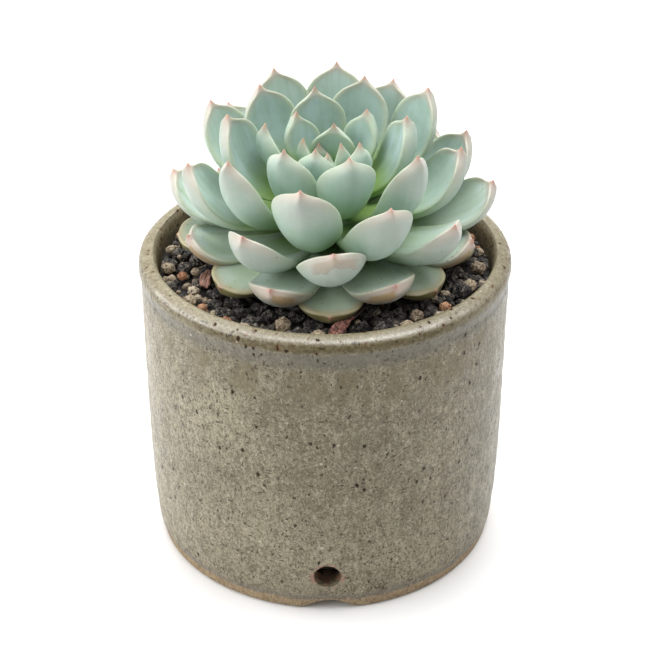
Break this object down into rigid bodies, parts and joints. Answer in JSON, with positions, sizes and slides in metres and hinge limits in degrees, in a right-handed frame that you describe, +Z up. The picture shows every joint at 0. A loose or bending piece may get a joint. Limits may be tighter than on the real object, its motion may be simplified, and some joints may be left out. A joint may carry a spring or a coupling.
{
  "type": "potted succulent",
  "caption": "Rosette succulent growing in gritty mix in a round glazed stoneware pot with a rounded lip, a drain hole low in the wall and a notched foot.",
  "frame": {"origin": "centre of the pot's foot, on the surface it stands on", "axes": "+Z up along the pot's axis; -Y is the front, the side with the drain hole"},
  "size_m": [0.113, 0.113, 0.1417],
  "materials": {
    "stoneware": "satin grey-green speckled glaze, brown where it is thin, bare warm clay at the foot",
    "mix": "rough charcoal lava grit",
    "leaf": "matt powdery blue-green bloom, cream to pink margins",
    "pumice": "rough pale tan pumice",
    "terracotta": "rough orange fired clay chips",
    "dried_leaf": "dry papery reddish brown"
  },
  "bodies": {
    "root": {"pot": "stoneware", "potting_mix": "mix", "rosette": "leaf", "pumice_01": "pumice", "pumice_02": "pumice", "pumice_03": "pumice", "pumice_04": "pumice", "pumice_05": "pumice", "pumice_06": "pumice", "pumice_07": "pumice", "pumice_08": "pumice", "pumice_09": "pumice", "pumice_10": "pumice", "pumice_11": "pumice", "pumice_12": "pumice", "pumice_13": "pumice", "pumice_14": "pumice", "pumice_15": "pumice", "pumice_16": "pumice", "pumice_17": "pumice", "pumice_18": "pumice", "pumice_19": "pumice", "terracotta_chip_1": "terracotta", "terracotta_chip_2": "terracotta", "terracotta_chip_3": "terracotta", "terracotta_chip_4": "terracotta", "terracotta_chip_5": "terracotta", "terracotta_chip_6": "terracotta", "dried_leaf_front": "dried_leaf", "dried_leaf_left": "dried_leaf"}
  },
  "joints": []
}
